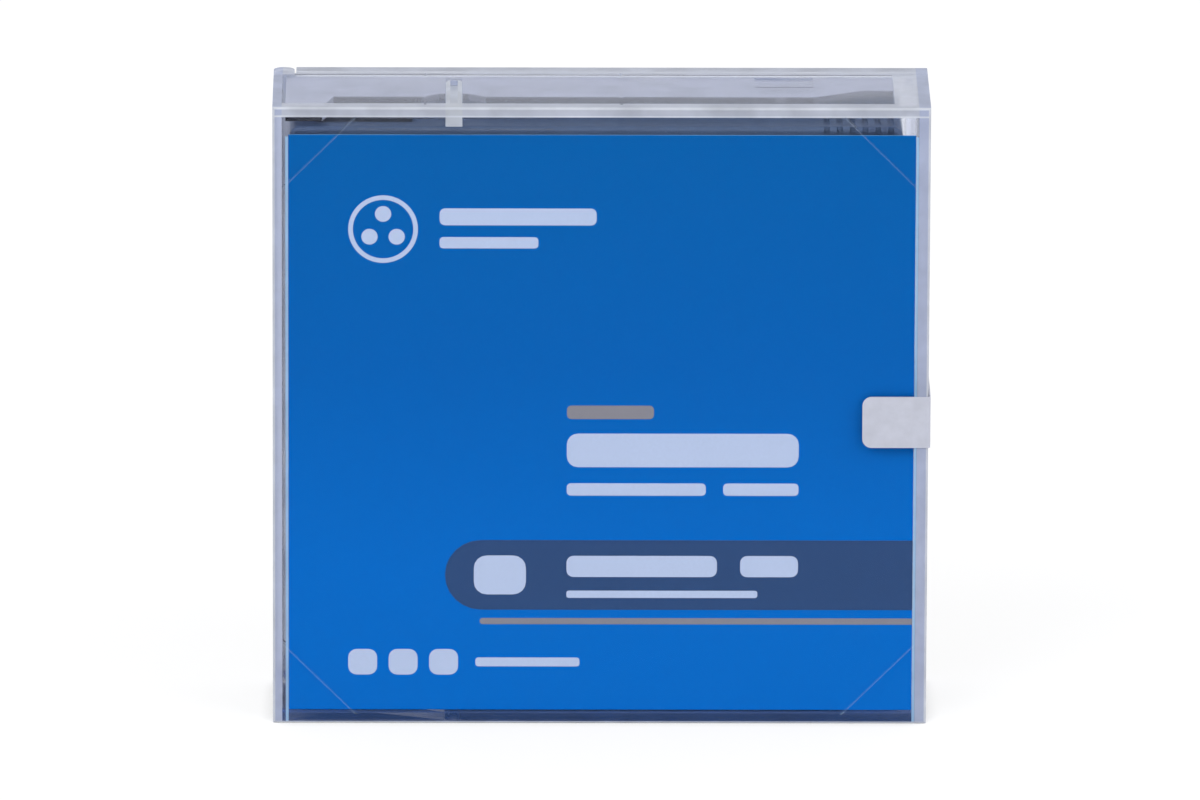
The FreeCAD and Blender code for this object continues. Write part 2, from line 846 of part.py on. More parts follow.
def add_face_grips(shell):
    """The same row of grooves, carried over both edges onto the face."""
    span = "(grip_count - 1) * grip_pitch"
    start = f"shell_right - grip_end - grip_width - {span}"
    for low, high in (
        ("shell_low - 1", "shell_low + grip_wrap"),
        ("shell_high - grip_wrap", "shell_high + 1"),
    ):
        slot = rectangle(start, low, f"{start} + grip_width", high)
        groove = shell.pocket("front", "shell_front", "grip_deep", slot)
        shell.repeat_along(groove, "grip_count", span)


def add_pin_saddle(shell, level):
    """The block that holds one end of the leader pin, slotted towards the window."""
    half = "saddle_size / 2"
    block = rectangle(f"pin_x - {half}", f"pin_z - {half}", f"pin_x + {half}", "rail_high")
    shell.pad("front", level, "saddle_height", block)
    slot = rectangle("pin_x - saddle_slot", "pin_z", "pin_x + saddle_slot", "rail_high + 1")
    shell.pocket("front", level, "saddle_height", slot)
    shell.pocket("front", level, "saddle_height", ("pin_x", "pin_z", "saddle_slot"))


def window_outline():
    """The leader window, cut through the wall on the door side."""
    return rectangle("window_left", "door_high", "window_right", "shell_high + 1")


def make_lower_shell():
    """The shell with the hub opening, the screw sockets, the datum holes and the tab guide."""
    shell = start_shell("lower_shell", "parting", "parting")
    bosses = [(x, z, "boss_radius") for x, z in SCREWS]
    shell.pad("front", "parting", "floor - parting", *bosses)
    shell.pad(
        "front", "floor - rail_height", "rail_height",
        rectangle("rail_left", "rail_high - rail_thick", "rail_right", "rail_high"),
    )
    add_pin_saddle(shell, "floor - saddle_height")
    stop = "door_right + door_spring_length + coil_gap"
    shell.pad(
        "front", "parting", "spring_stop_depth",
        rectangle(stop, "door_low", f"{stop} + spring_stop", "shell_high - shell_wall / 2"),
    )
    guide = rectangle(
        "slider_left - slider_gap - slider_guide", "slot_low - 3",
        "slider_left - slider_gap", "slot_high + 4",
    )
    shell.pad("front", "slot_front", "floor - slot_front", guide)
    shell.pocket("front", "floor", "shell_floor", ("reel_x", "reel_z", "hub_opening"))
    shell.pocket("front", "parting", "window_back - parting", window_outline())
    shell.pocket(
        "front", "slot_front", "slot_back - slot_front",
        rectangle("slider_right", "slot_low", "shell_right + 1", "slot_high"),
    )
    add_screw_holes(shell)
    datums = [
        ("shell_right - datum_inset", "shell_low + 2 * datum_inset", "datum_radius"),
        ("shell_right - datum_inset", "shell_high - 2 * datum_inset", "datum_radius"),
    ]
    shell.pocket("front", "shell_back - datum_deep", "datum_deep", *datums)
    add_latch_notches(shell)
    add_grips(shell)


def add_screw_holes(shell):
    """A clearance bore through each boss, with a round socket for the head."""
    bores = [(x, z, "screw_radius + screw_clearance") for x, z in SCREWS]
    shell.pocket("front", "parting", "shell_back - parting", *bores)
    sockets = [(x, z, "screw_head_radius + screw_clearance") for x, z in SCREWS]
    deep = "screw_head + 2 * screw_clearance"
    shell.pocket("front", f"shell_back - ({deep})", deep, *sockets)


def add_latch_notches(shell):
    """The notch in each long side that a drive's loader holds."""
    start = "shell_left + latch_notch_start"
    for low, high in (
        ("shell_low - 1", "shell_low + latch_notch_deep"),
        ("shell_high - latch_notch_deep", "shell_high + 1"),
    ):
        notch = rectangle(start, low, f"{start} + latch_notch_length", high)
        shell.pocket("front", "parting + latch_notch_step", "shell_back - parting", notch)


def make_upper_shell():
    """The shell with the label recess and the square post that keeps the brake from turning."""
    shell = start_shell("upper_shell", "shell_front", "ceiling")
    bosses = [(x, z, "boss_radius") for x, z in SCREWS]
    shell.pad("front", "ceiling", "parting - ceiling", *bosses)
    half = "post_size / 2"
    post = rectangle(
        f"reel_x - {half}", f"reel_z - {half}", f"reel_x + {half}", f"reel_z + {half}"
    )
    reach = "brake_front - brake_travel - 2 * post_play - ceiling"
    shell.pad("front", "ceiling", reach, post)
    shell.pad(
        "front", "ceiling", "rail_height",
        rectangle("rail_left", "rail_high - rail_thick", "rail_right", "rail_high"),
    )
    add_pin_saddle(shell, "ceiling")
    shell.pocket("front", "window_front", "parting - window_front", window_outline())
    shell.pocket(
        "front", "shell_front", "label_deep",
        rectangle(
            "shell_right - label_margin - label_length", "shell_low + label_margin",
            "shell_right - label_margin", "shell_high - label_margin",
        ),
    )
    pilots = [(x, z, "screw_radius + screw_clearance / 2") for x, z in SCREWS]
    shell.pocket("front", "ceiling + 1", "parting - ceiling - 1", *pilots)
    add_grips(shell)
    add_face_grips(shell)


def make_screws():
    """Four screws from the lower shell into the upper one, as one group of solids."""
    screws = []
    for number, (x, z) in enumerate(SCREWS, start=1):
        seat = "shell_back - screw_head - screw_clearance"
        head = rod(f"screw_head_{number}", x, seat, z, "screw_head_radius", "screw_head")
        shank = rod(
            f"screw_shank_{number}", x, f"{seat} - screw_length", z,
            "screw_radius", "screw_length",
        )
        slot = box(
            f"screw_slot_{number}", f"{x} - screw_head_radius",
            f"{seat} + screw_head / 2", f"{z} - screw_radius / 4",
            "2 * screw_head_radius", "screw_head", "screw_radius / 2",
        )
        whole = join(f"screw_blank_{number}", head, shank)
        screws.append(cut(f"screw_{number}", whole, slot))
    group = doc.addObject("Part::Compound", "shell_screws")
    group.Label = "shell_screws"
    group.Links = screws


# ---------------------------------------------------------------- the reel


def make_reel_hub():
    """Hub, web and lower flange in one, with the drive's chuck teeth on its underside and
    the brake's teeth inside."""
    hub = Moulding("reel_hub")
    inner = "hub_radius - hub_wall"
    profile = hub.turn(
        "reel_x", "reel_z",
        [
            ("web_bore", "web_front"),
            (inner, "web_front"),
            (inner, "flange_back"),
            ("hub_radius", "flange_back"),
            ("hub_radius", "web_front"),
            ("flange_radius", "web_front"),
            ("flange_radius", "web_back"),
            ("web_bore", "web_back"),
        ],
    )
    tooth = hub.pad(
        "front", "web_back - 0.1", "chuck_tooth_height + 0.1",
        tooth_outline("chuck_tooth_inner", "chuck_tooth_outer", "chuck_teeth"),
    )
    hub.repeat_round(tooth, profile, "chuck_teeth")
    stop = hub.pad(
        "front", "web_front - brake_tooth_height", "brake_tooth_height + 0.1",
        tooth_outline("brake_tooth_inner", "brake_tooth_outer", "brake_teeth"),
    )
    hub.repeat_round(stop, profile, "brake_teeth")


def tooth_outline(inner, outer, count):
    """One tooth of a face ring, seen along its axis: a wedge, half of each pitch wide."""
    inner_half = f"{inner} * tan(90 deg / {count})"
    outer_half = f"{outer} * tan(90 deg / {count})"
    return [
        (f"reel_x + {inner}", f"reel_z - {inner_half}"),
        (f"reel_x + {outer}", f"reel_z - {outer_half}"),
        (f"reel_x + {outer}", f"reel_z + {outer_half}"),
        (f"reel_x + {inner}", f"reel_z + {inner_half}"),
    ]


def make_upper_flange():
    """The front flange of the reel, a thin flat ring welded to the hub."""
    flange = Moulding("reel_flange")
    flange.turn(
        "reel_x", "reel_z",
        [
            ("hub_radius - hub_wall", "flange_front"),
            ("flange_radius", "flange_front"),
            ("flange_radius", "flange_back"),
            ("hub_radius - hub_wall", "flange_back"),
        ],
    )


def make_tape_pack():
    """The wound tape, one solid ring between the flanges."""
    pack = Moulding("tape_pack")
    pack.turn(
        "reel_x", "reel_z",
        [
            ("hub_radius + pack_clearance", "pack_front"),
            ("pack_radius", "pack_front"),
            ("pack_radius", "pack_back"),
            ("hub_radius + pack_clearance", "pack_back"),
        ],
    )


def make_clutch_plate():
    """The steel ring on the reel's underside that a drive's magnet holds."""
    plate = Moulding("clutch_plate")
    plate.turn(
        "reel_x", "reel_z",
        [
            ("plate_inner", "web_back"),
            ("plate_outer", "web_back"),
            ("plate_outer", "web_back + plate_thick"),
            ("plate_inner", "web_back + plate_thick"),
        ],
    )


def make_brake():
    """The brake button: a toothed disc whose square sleeve slides on the upper shell's post."""
    brake = Moulding("brake_button")
    profile = brake.turn(
        "reel_x", "reel_z",
        [
            ("0", "brake_back"),
            ("brake_radius", "brake_back"),
            ("brake_radius", "brake_front"),
            ("brake_sleeve_radius", "brake_front"),
            ("brake_sleeve_radius", "brake_front - brake_sleeve"),
            ("0", "brake_front - brake_sleeve"),
        ],
    )
    half = "(post_size / 2 + post_play)"
    brake.pocket(
        "front", "brake_front - brake_sleeve", "brake_sleeve",
        rectangle(
            f"reel_x - {half}", f"reel_z - {half}", f"reel_x + {half}", f"reel_z + {half}"
        ),
    )
    tooth = brake.pad(
        "front", "brake_back - 0.1", "brake_tooth_height + 0.1",
        tooth_outline("brake_tooth_inner", "brake_tooth_outer", "brake_teeth"),
    )
    brake.repeat_round(tooth, profile, "brake_teeth")


def make_release_pad():
    """The pad in the reel's web that a drive pushes to lift the brake, on three feet."""
    pad = Moulding("release_pad")
    back = "web_back + plate_thick"
    profile = pad.turn(
        "reel_x", "reel_z",
        [
            ("0", f"{back} - pad_thick"),
            ("pad_radius", f"{back} - pad_thick"),
            ("pad_radius", back),
            ("0", back),
        ],
    )
    foot = pad.pad(
        "front", "brake_back + pad_gap", f"{back} - pad_thick - brake_back - pad_gap + 0.1",
        ("reel_x + pad_foot_circle", "reel_z", "pad_foot_radius"),
    )
    pad.repeat_round(foot, profile, "3")


def coil(label, origin, direction, radius, wire, turns, length):
    """A helical spring along a direction, made of half rings. Each leans by half its rise, so
    its ends meet the next in line, and its six-sided wire twists on to match the next."""
    radius, rise = value(radius), value(length) / value(turns) / 2
    lean = math.degrees(math.asin(rise / (2 * radius)))
    axis, level = FreeCAD.Vector(0, 0, 1), FreeCAD.Vector(0, 1, 0)
    twist = 0
    rings = []
    for number in range(2 * int(value(turns))):
        tilt = -lean if number % 2 else lean
        middle = FreeCAD.Vector(-radius if number % 2 else radius, 0, 0)
        ring = wire_section(middle, value(wire), twist - tilt).revolve(FreeCAD.Vector(), axis, 180)
        place_at = FreeCAD.Vector(0, 0, rise * (number + 0.5))
        ring.Placement = FreeCAD.Placement(place_at, FreeCAD.Rotation(level, tilt))
        rings.append(ring)
        twist = 2 * tilt - twist
    item = doc.addObject("Part::Feature", label)
    item.Label = label
    item.Shape = rings[0].multiFuse(rings[1:]).removeSplitter()
    item.Placement = FreeCAD.Placement(origin, FreeCAD.Rotation(axis, direction))


def wire_section(middle, radius, turned):
    """A six-sided face in the XZ plane, turned about its middle by some degrees."""
    corners = []
    for number in range(7):
        angle = math.radians(60 * number - turned)
        spot = FreeCAD.Vector(math.cos(angle), 0, math.sin(angle))
        corners.append(middle + spot * radius)
    return Part.Face(Part.makePolygon(corners))


def make_brake_spring():
    """The spring between the upper shell and the brake."""
    origin = vector("reel_x", "ceiling + brake_wire + coil_gap", "reel_z")
    coil(
        "brake_spring", origin, FreeCAD.Vector(0, 1, 0),
        "brake_coil_radius", "brake_wire", "brake_turns",
        "brake_front - ceiling - 2 * (brake_wire + coil_gap)",
    )


# ---------------------------------------------------------------- leader, door and small pieces


def make_leader_pin():
    """The steel pin that a drive takes hold of, with a head at each end."""
    pin = Moulding("leader_pin")
    head = "leader_pin_head_thick"
    pin.turn(
        "pin_x", "pin_z",
        [
            ("0", "pin_front"),
            ("leader_pin_head", "pin_front"),
            ("leader_pin_head", f"pin_front + {head}"),
            ("leader_pin_radius", f"pin_front + {head}"),
            ("leader_pin_radius", f"pin_back - {head}"),
            ("leader_pin_head", f"pin_back - {head}"),
            ("leader_pin_head", "pin_back"),
            ("0", "pin_back"),
        ],
    )


def make_leader_clip():
    """The C-clip that clamps the tape's end on the leader pin."""
    clip = Moulding("leader_clip")
    play = "leader_clip_play"
    clip.turn(
        "pin_x", "pin_z",
        [
            (f"leader_pin_radius + {play}", "pack_front"),
            ("leader_clip_radius", "pack_front"),
            ("leader_clip_radius", "pack_back"),
            (f"leader_pin_radius + {play}", "pack_back"),
        ],
    )
    slit = "leader_pin_radius / 2"
    clip.pocket(
        "front", "pack_front - 0.1", "tape_width + 0.2",
        rectangle(f"pin_x - {slit}", "pin_z", f"pin_x + {slit}", "pin_z + leader_clip_radius + 1"),
    )


def make_leader():
    """The tape's free end: a flat strip on the line that touches the pack and the clip."""
    item = doc.addObject("Part::Feature", "tape_leader")
    item.Label = "tape_leader"
    centre = vector("reel_x", "pack_front", "reel_z")
    pin = vector("pin_x", "pack_front", "pin_z")
    off_pack = value("pack_radius + leader_gap")
    off_pin = value("leader_clip_radius + leader_clip_play")
    span = pin - centre
    swing = math.degrees(math.acos((off_pack - off_pin) / span.Length))
    outward = FreeCAD.Rotation(FreeCAD.Vector(0, 1, 0), -swing).multVec(span)
    outward.normalize()
    start, end = centre + outward * off_pack, pin + outward * off_pin
    thick = outward * value("leader_thick")
    outline = Part.makePolygon([start, end, end + thick, start + thick, start])
    item.Shape = Part.Face(outline).extrude(FreeCAD.Vector(0, value("tape_width"), 0))


def make_pin_springs():
    """A U-shaped leaf spring in each saddle, round the head of the leader pin."""
    outer = "saddle_slot - pin_spring_play"
    inner = f"{outer} - pin_spring_thick"
    middle = "(saddle_height - pin_spring_width) / 2"
    springs = []
    for name, start in (("rear", "floor - saddle_height"), ("front", "ceiling")):
        spring = Moulding(f"{name}_pin_spring")
        level = f"{start} + {middle}"
        ring = [("pin_x", "pin_z", radius) for radius in (outer, inner)]
        spring.pad("front", level, "pin_spring_width", *ring)
        spring.pocket(
            "front", level, "pin_spring_width",
            rectangle("pin_x - saddle_slot", "pin_z", "pin_x + saddle_slot", "rail_high"),
        )
        for side in "-+":
            arm = rectangle(
                f"pin_x {side} ({inner})", "pin_z - 0.01",
                f"pin_x {side} ({outer})", "pin_z + pin_spring_arm",
            )
            spring.pad("front", level, "pin_spring_width", arm)
        springs.append(spring.body)
    group = doc.addObject("Part::Compound", "pin_springs")
    group.Label = "pin_springs"
    group.Links = springs


def make_door():
    """The sliding door behind the leader window, with the raised tab that a drive pushes."""
    door = Moulding("access_door")
    door.pad(
        "front", "door_front", "door_back - door_front",
        rectangle("door_left", "door_low", "door_right", "door_high"),
    )
    start = "window_left + door_gap"
    tab = rectangle(start, "door_low", f"{start} + door_tab", "door_high + door_tab")
    door.pad("front", "parting - window_height / 4", "window_height / 2", tab)


def make_door_spring():
    """The closing spring between the door and its stop."""
    origin = vector("door_right + door_wire + coil_gap", "parting", "(door_low + door_high) / 2")
    coil(
        "door_spring", origin, FreeCAD.Vector(1, 0, 0),
        "door_coil_radius", "door_wire", "door_turns",
        "door_spring_length - 2 * door_wire - coil_gap",
    )


def make_slider():
    """The write-protect slider: a flat runner behind the rear wall and a knob in its window."""
    slider = Moulding("write_protect_slider")
    slider.pad(
        "front", "slot_front + slider_gap - 1", "floor - slot_front - 2 * slider_gap + 1",
        rectangle(
            "slider_left", "slot_low - slider_margin",
            "slider_right", "slot_low + slider_knob + slider_margin",
        ),
    )
    slider.pad(
        "front", "slot_front + slider_gap", "slot_back - slot_front - 2 * slider_gap",
        rectangle(
            "slider_left", "slot_low + slider_gap",
            "shell_right - slider_gap", "slot_low + slider_gap + slider_knob",
        ),
    )


def make_memory():
    """The memory board that stands on edge across the rear corner."""
    item = doc.addObject("Part::Box", "memory_board")
    item.Label = "memory_board"
    turn = FreeCAD.Rotation(FreeCAD.Vector(0, 1, 0), 45)
    item.Placement = FreeCAD.Placement(FreeCAD.Vector(), turn)
    bind(item, Length="memory_size", Width="memory_height", Height="memory_thick")
    offset = "(flange_radius + memory_gap) * sqrt(0.5)"
    half = "memory_size / 2 * sqrt(0.5)"
    place(
        item, f"reel_x + {offset} - {half}", "floor - memory_height",
        f"reel_z + {offset} + {half}",
    )


NODES = (
    "case_base", "case_lid", "insert_card", "seal_front", "seal_rear",
    "upper_shell", "lower_shell", "shell_screws",
    "reel_hub", "reel_flange", "tape_pack", "clutch_plate",
    "brake_button", "brake_spring", "release_pad",
    "leader_pin", "leader_clip", "tape_leader", "pin_springs",
    "access_door", "door_spring", "write_protect_slider", "memory_board",
)


def check():
    """Stops the script if any object failed or any piece is not a sound solid."""
    failed = [
        item.Name for item in doc.Objects if {"Invalid", "Error"} & set(item.State)
    ]
    for label in NODES:
        shape = doc.getObjectsByLabel(label)[0].Shape
        if shape.isNull() or not shape.isValid() or not shape.Solids:
            failed.append(label)
    if failed:
        raise RuntimeError(f"failed: {failed}")


def main():
    make_case_base()
    make_case_lid()
    make_card()
    make_seal()
    make_lower_shell()
    make_upper_shell()
    make_screws()
    make_reel_hub()
    make_upper_flange()
    make_tape_pack()
    make_clutch_plate()
    make_brake()
    make_release_pad()
    make_brake_spring()
    make_leader_pin()
    make_leader_clip()
    make_leader()
    make_pin_springs()
    make_door()
    make_door_spring()
    make_slider()
    make_memory()
    doc.recompute()
    check()
    os.makedirs("parts", exist_ok=True)
    for label in NODES:
        doc.getObjectsByLabel(label)[0].Shape.exportStep(f"parts/{label}.step")


main()
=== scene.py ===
import json
import math

import bmesh
import bpy
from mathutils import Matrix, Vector


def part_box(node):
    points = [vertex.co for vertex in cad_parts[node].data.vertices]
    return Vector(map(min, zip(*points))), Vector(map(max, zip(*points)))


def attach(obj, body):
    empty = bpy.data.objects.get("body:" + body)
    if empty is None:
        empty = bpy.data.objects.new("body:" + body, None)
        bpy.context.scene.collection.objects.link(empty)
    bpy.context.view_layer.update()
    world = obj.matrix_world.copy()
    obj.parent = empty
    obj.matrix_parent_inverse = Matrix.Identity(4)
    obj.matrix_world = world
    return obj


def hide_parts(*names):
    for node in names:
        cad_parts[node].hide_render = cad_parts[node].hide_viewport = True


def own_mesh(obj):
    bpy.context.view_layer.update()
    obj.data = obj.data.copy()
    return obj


# The looks of a data tape cartridge in its clear storage case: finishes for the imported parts,
# the print on the card, the floor, the light and the camera. Metres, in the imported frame.

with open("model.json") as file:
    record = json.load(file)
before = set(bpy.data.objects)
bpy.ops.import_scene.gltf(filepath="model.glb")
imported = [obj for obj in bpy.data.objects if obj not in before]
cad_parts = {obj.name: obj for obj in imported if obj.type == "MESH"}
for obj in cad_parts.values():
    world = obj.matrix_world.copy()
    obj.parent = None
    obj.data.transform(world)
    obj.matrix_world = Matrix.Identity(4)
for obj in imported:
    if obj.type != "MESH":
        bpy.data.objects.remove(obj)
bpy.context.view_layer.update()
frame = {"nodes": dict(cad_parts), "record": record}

MM = 0.001

# ---------------------------------------------------------------- colours, in linear light

TINT = (0.97, 0.975, 0.99, 1)
LID_MIST = (0.50, 0.62, 0.95, 1)
# Pale mist where walls meet, not on the bottom wall: partly thick plastic, partly painted light.
EDGE_MIST = (0.66, 0.70, 0.82, 1)
BASE_MIST = (0.60, 0.62, 0.72, 1)
SIDE_MIST = (0.56, 0.62, 0.82, 1)
# Painted shade: a dark blue mist over the foot of the case.
PAINTED_SHADE_MIST = (0.10, 0.22, 0.60, 1)
CLIP_MIST = (0.70, 0.74, 0.82, 1)
# Painted highlight: a pale mist on the front plate's bevels and its inner edge.
PAINTED_HIGHLIGHT = (0.86, 0.90, 1.0, 1)
# Painted light: a pale blue mist on the lines beside the card and on the groove floors.
PAINTED_LINE_LIGHT = (0.42, 0.66, 0.95, 1)
DEPTH_TINT = (0.40, 0.44, 0.60, 1)
DEPTH_DENSITY = 35.0
PLASTIC_IOR = 1.49
GLOSS_IOR = 1.40
GLOSS = 0.5
PLATE_GLOSS = 0.05
GLOSS_ROUGHNESS = 0.15
CLEAR_ROUGHNESS = 0.14
BACK_LIT = 0.2
SEAL_BACK_LIT = 0.12

# How misty the clear plastic is: 0 is clear and 1 is opaque.
LID_HAZE = 0.11
BASE_HAZE = 0.93
EDGE_HAZE = 0.85
# How misty the painted shade at the foot is.
LOW_HAZE = 0.31
LINE_HAZE = 0.10
PLATE_HAZE = 0.002
INSIDE_SHARE = 0.1
CLOUD_LOW = 0.85
CLOUD_HIGH = 1.15

CARD_TOP = (0.0, 0.118, 0.400, 1)
CARD_MIDDLE = (0.0, 0.122, 0.455, 1)
CARD_BOTTOM = (0.0, 0.148, 0.560, 1)
# The card's edges: a paler blue, painted light as if lit through.
CARD_EDGE_PAINTED_LIGHT = (0.16, 0.42, 0.72, 1)
PAPER = (0.80, 0.81, 0.83, 1)
PRINT_WHITE = (0.52, 0.61, 0.79, 1)
PRINT_TAN = (0.27, 0.26, 0.28, 1)
PRINT_SLATE = (0.030, 0.075, 0.190, 1)
SEAL = (0.72, 0.74, 0.85, 1)
NAVY = (0.062, 0.102, 0.185, 1)
REEL_GREY = (0.50, 0.51, 0.53, 1)
FILM = (0.035, 0.028, 0.026, 1)
STEEL = (0.56, 0.56, 0.58, 1)
STEEL_LINES = (0.42, 0.42, 0.44, 1)
NATURAL = (0.74, 0.74, 0.68, 1)
DOOR_GREY = (0.10, 0.11, 0.13, 1)
TAB_RED = (0.55, 0.06, 0.02, 1)
BOARD_GREEN = (0.02, 0.12, 0.05, 1)
FLOOR = (0.80, 0.80, 0.80, 1)
FLOOR_SEEN = (0.30, 0.30, 0.30, 1)
SKY_COLOUR = (0.97, 0.98, 1.0, 1)
BACKDROP = (1, 1, 1, 1)

# ---------------------------------------------------------------- shader building

NOISE_LOW = 0.3
NOISE_HIGH = 0.7


class Finish:
    """A material under construction: one Principled shader and the nodes that feed it."""

    def __init__(self, name, **sockets):
        self.material = bpy.data.materials.new(name)
        self.material.use_nodes = True
        self.tree = self.material.node_tree
        self.shader = self.tree.nodes["Principled BSDF"]
        self.output = self.tree.nodes["Material Output"]
        for socket, number in sockets.items():
            self.shader.inputs[socket.replace("_", " ")].default_value = number
        coordinates = self.node("ShaderNodeTexCoord")
        self.place = coordinates.outputs["Object"]
        self.facing = coordinates.outputs["Normal"]

    def node(self, kind, inputs=(), **settings):
        """A node with its settings and its inputs, each a number or another node's output."""
        made = self.tree.nodes.new(kind)
        for name, setting in settings.items():
            setattr(made, name, setting)
        for name, source in dict(inputs).items():
            self.feed(made.inputs[name], source)
        return made

    def feed(self, socket, source):
        if isinstance(source, bpy.types.NodeSocket):
            self.tree.links.new(source, socket)
        else:
            socket.default_value = source

    def stretched(self, x, y, z):
        """Object coordinates scaled by a factor along each axis."""
        inputs = {"Vector": self.place, "Scale": (x, y, z)}
        return self.node("ShaderNodeMapping", inputs).outputs["Vector"]

    def parts(self, vector):
        """The x, y and z of a vector."""
        return self.node("ShaderNodeSeparateXYZ", {"Vector": vector}).outputs

    def noise(self, grain, detail=3.0, place=None):
        """Noise whose grains measure about so many metres."""
        inputs = {"Vector": place or self.place, "Scale": 1 / grain, "Detail": detail}
        return self.node("ShaderNodeTexNoise", inputs).outputs["Fac"]

    def ramp(self, source, *stops):
        """Colours over a 0 to 1 input, as (position, colour) pairs."""
        made = self.node("ShaderNodeValToRGB", {"Fac": source})
        elements = made.color_ramp.elements
        while len(elements) < len(stops):
            elements.new(0.5)
        for element, (position, colour) in zip(elements, stops):
            element.position = position
            element.color = colour
        return made.outputs["Color"]

    def ranged(self, source, start, end, low=0.0, high=1.0):
        """Maps a number that lies from a start to an end to a range of numbers."""
        inputs = {"Value": source, "From Min": start, "From Max": end}
        inputs.update({"To Min": low, "To Max": high})
        return self.node("ShaderNodeMapRange", inputs).outputs["Result"]

    def between(self, noise, low, high):
        """Maps a noise, which lies mostly from 0.3 to 0.7, to a range of numbers."""
        return self.ranged(noise, NOISE_LOW, NOISE_HIGH, low, high)

    def math(self, operation, first, second=0.0):
        """A sum, product or other operation on two numbers."""
        return self.node("ShaderNodeMath", {0: first, 1: second}, operation=operation).outputs[0]

    def scaled(self, source, low, high):
        """Maps a 0 to 1 input to a range of numbers."""
        return self.ranged(source, 0.0, 1.0, low, high)

    def blend(self, share, first, second):
        """One number with a share of a second one in it."""
        return self.node("ShaderNodeMix", {0: share, 2: first, 3: second}).outputs[0]

    def blended(self, share, first, second):
        """One colour with a share of a second one in it."""
        inputs = {0: share, 6: first, 7: second}
        return self.node("ShaderNodeMix", inputs, data_type="RGBA").outputs[2]

    def mixed(self, share, first, second):
        """One shader with a share of a second one in it."""
        inputs = {0: share, 1: first.outputs[0], 2: second.outputs[0]}
        return self.node("ShaderNodeMixShader", inputs)

    def colour(self, source):
        self.feed(self.shader.inputs["Base Color"], source)

    def rough(self, source):
        self.feed(self.shader.inputs["Roughness"], source)

    def relief(self, height, depth, strength=1.0):
        """Bumps of a height map, so many metres deep."""
        inputs = {"Height": height, "Distance": depth, "Strength": strength}
        bump = self.node("ShaderNodeBump", inputs)
        self.feed(self.shader.inputs["Normal"], bump.outputs["Normal"])

    def skin(self, base, uneven, patches, specks, rough, bumps, depth, detail=2.0, strength=1.0):
        """A slightly uneven skin. The base colour is darkened in patches by up to the share
        uneven, the roughness varies in specks over its range, and bumps stand so deep.
        Patches, specks, bumps and depth are in millimetres."""
        dark = tuple(part * (1 - uneven) for part in base[:3]) + (1,)
        patchy = self.noise(patches * MM)
        self.colour(self.ramp(patchy, (NOISE_LOW, dark), (NOISE_HIGH, base)))
        self.rough(self.between(self.noise(specks * MM), *rough))
        self.relief(self.noise(bumps * MM, detail), depth * MM, strength)


# ---------------------------------------------------------------- finishes

# Places on the case, as distances from its sides, and the clip's and grooves' sizes.
WALL = 1.6 * MM
OPENING_WALL = 2.0 * MM
HINGE = 3.8 * MM
OPENING_END = 6.2 * MM
FOOT = 2.3 * MM
FRONT_CORNER = 2.9 * MM
BACK_CORNER = 5.2 * MM
CARD_LINE = 0.5 * MM
CLIP_PLACE = 31.15 * MM
CLIP_HALF = 1.45 * MM
CLIP_HEIGHT = 3.4 * MM
CLIP_BACK = 18.8 * MM
EDGE_LINE = 0.15 * MM
GROOVE_TOP = 0.07 * MM
GROOVE_TOP_SOFT = 0.02 * MM
GROOVE_FLOOR = 0.3 * MM
SOFT = 0.05 * MM

# How square a face is to an axis, from 0 to 1. A bevel is less square than BEVEL_SQUARE. The
# front and back plates' faces turn polished from PLATE_START to PLATE_END.
BEVEL_SQUARE = 0.96
BEVEL_SOFT = 0.03
PLATE_START = 0.6
PLATE_END = 0.95

# The waviness and the cloudiness of the clear plastic.
FLOW_GRAIN = 14 * MM
FLOW_STRETCH = 0.4
FLOW_DEPTH = 0.03 * MM
FLOW_STRENGTH = 0.3
CLOUD_GRAIN = 7 * MM

# Where the card's blue changes, as shares of its height, and how squarely a face must look
# forward or backward to be the printed side or the plain one.
BLUE_BOTTOM_END = 0.25
BLUE_MIDDLE = 0.6
FACE_START = 0.4
FACE_END = 0.6

# The drawn lines of the steel.
STEEL_GRAIN = 0.15 * MM
STEEL_STRETCH = 0.08
STEEL_DEPTH = 0.01 * MM
STEEL_SMOOTH = 0.22
STEEL_ROUGH = 0.38

# The fine tooth of the card, which the ink on it shows too, in millimetres.
TOOTH_GRAIN = 0.12
TOOTH_DETAIL = 4.0
TOOTH_DEPTH = 0.004


